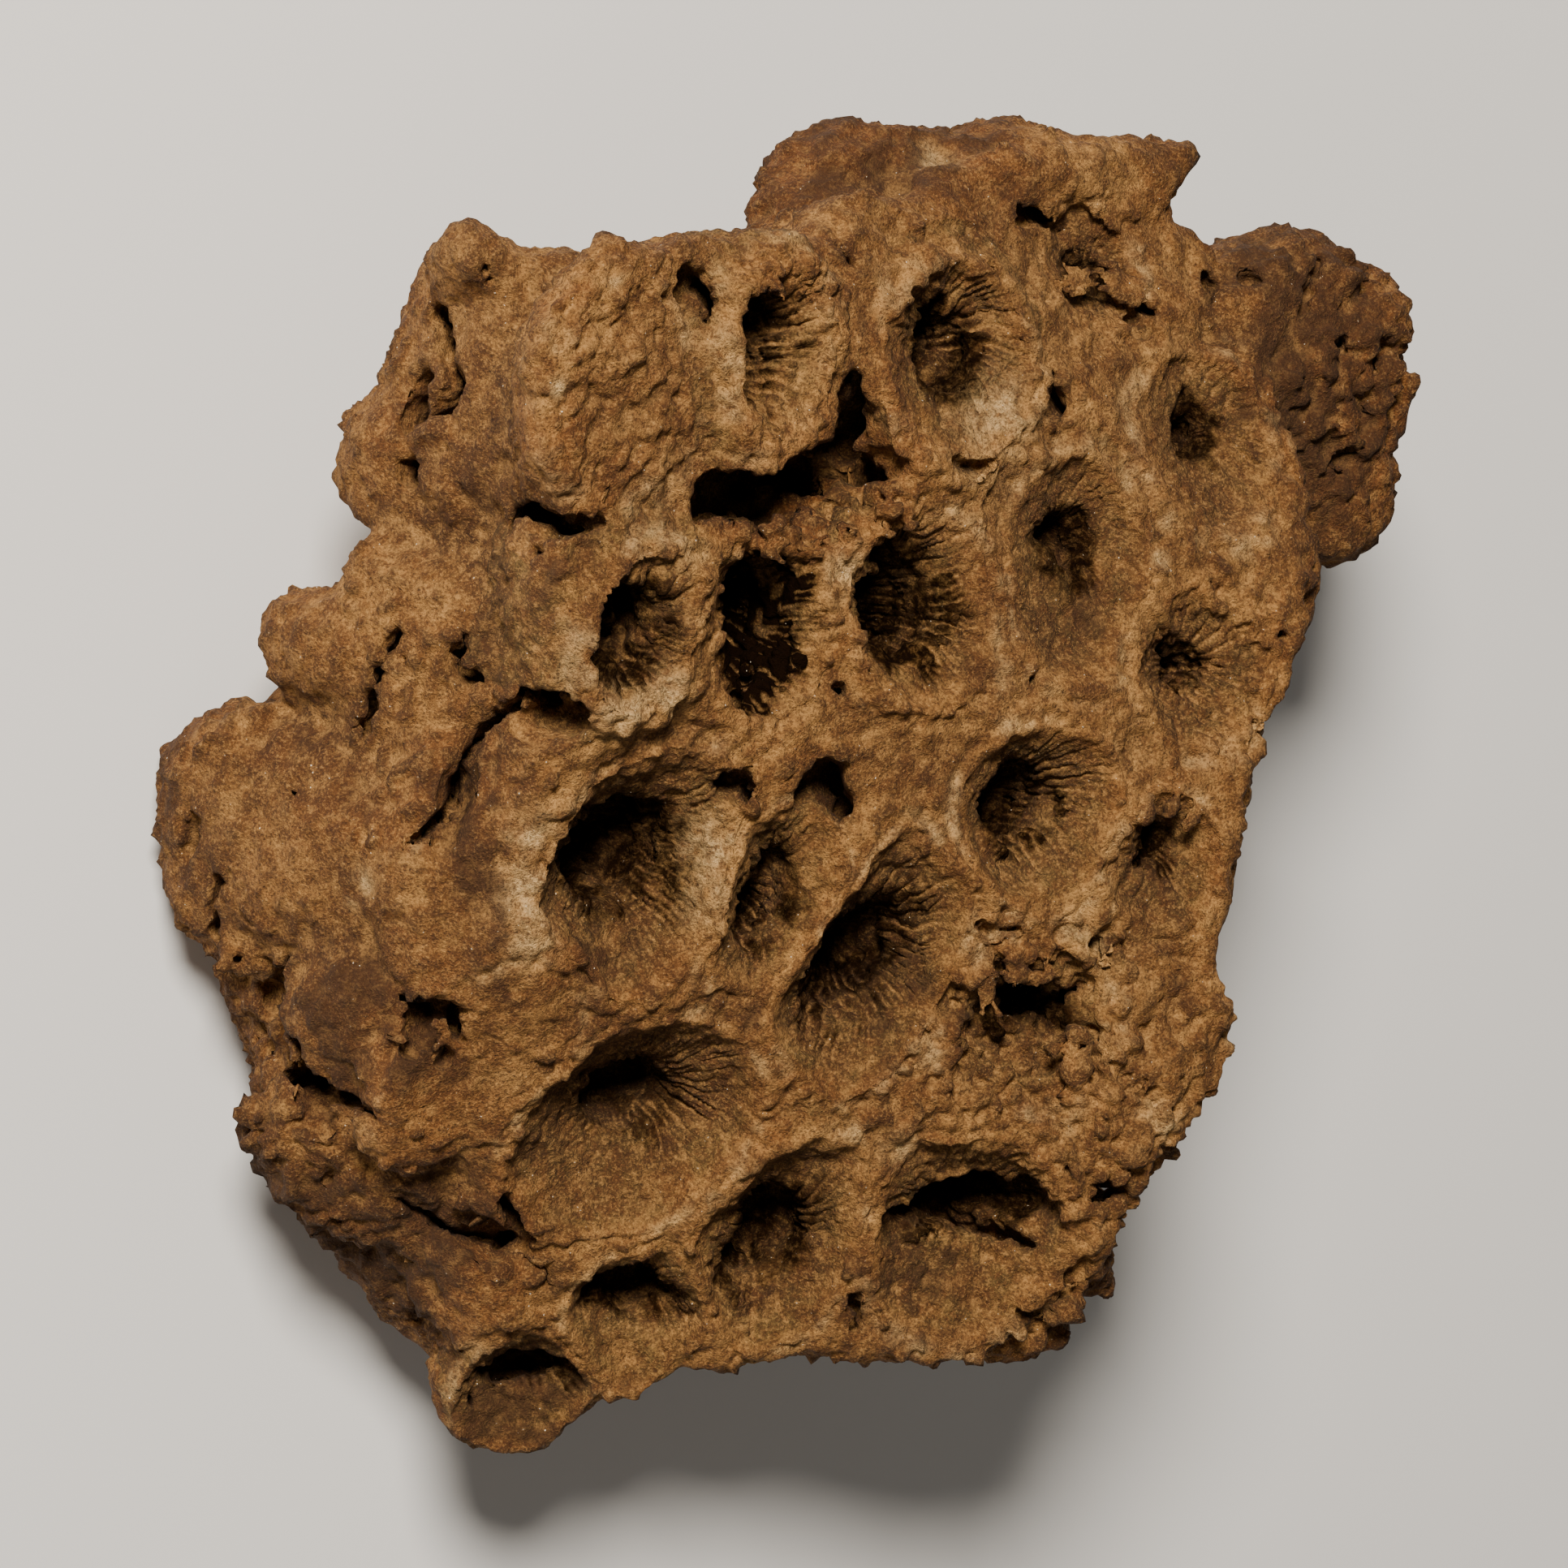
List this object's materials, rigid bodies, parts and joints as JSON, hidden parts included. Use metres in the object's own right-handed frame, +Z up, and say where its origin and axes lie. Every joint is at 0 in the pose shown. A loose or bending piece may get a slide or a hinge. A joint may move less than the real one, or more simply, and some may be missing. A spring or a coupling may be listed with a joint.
{
  "type": "fossil colonial rugose coral",
  "caption": "Broken piece of a silicified fossil coral colony: deep polygonal cups with radial ridges share one mass that rests on a flat cut.",
  "frame": {"origin": "middle of the bounding box, on the flat cut that the piece rests on", "axes": "+Z up out of the cups, +X and +Y along the field of cups, +Y towards the picture's top and +X towards its right"},
  "size_m": [0.0777, 0.0768, 0.0354],
  "materials": {
    "silicified_coral": "rough ochre-brown silicified limestone with paler rims, red-brown hollows and fine crystal glints"
  },
  "bodies": {
    "root": {"coral_colony": "silicified_coral"}
  },
  "joints": []
}
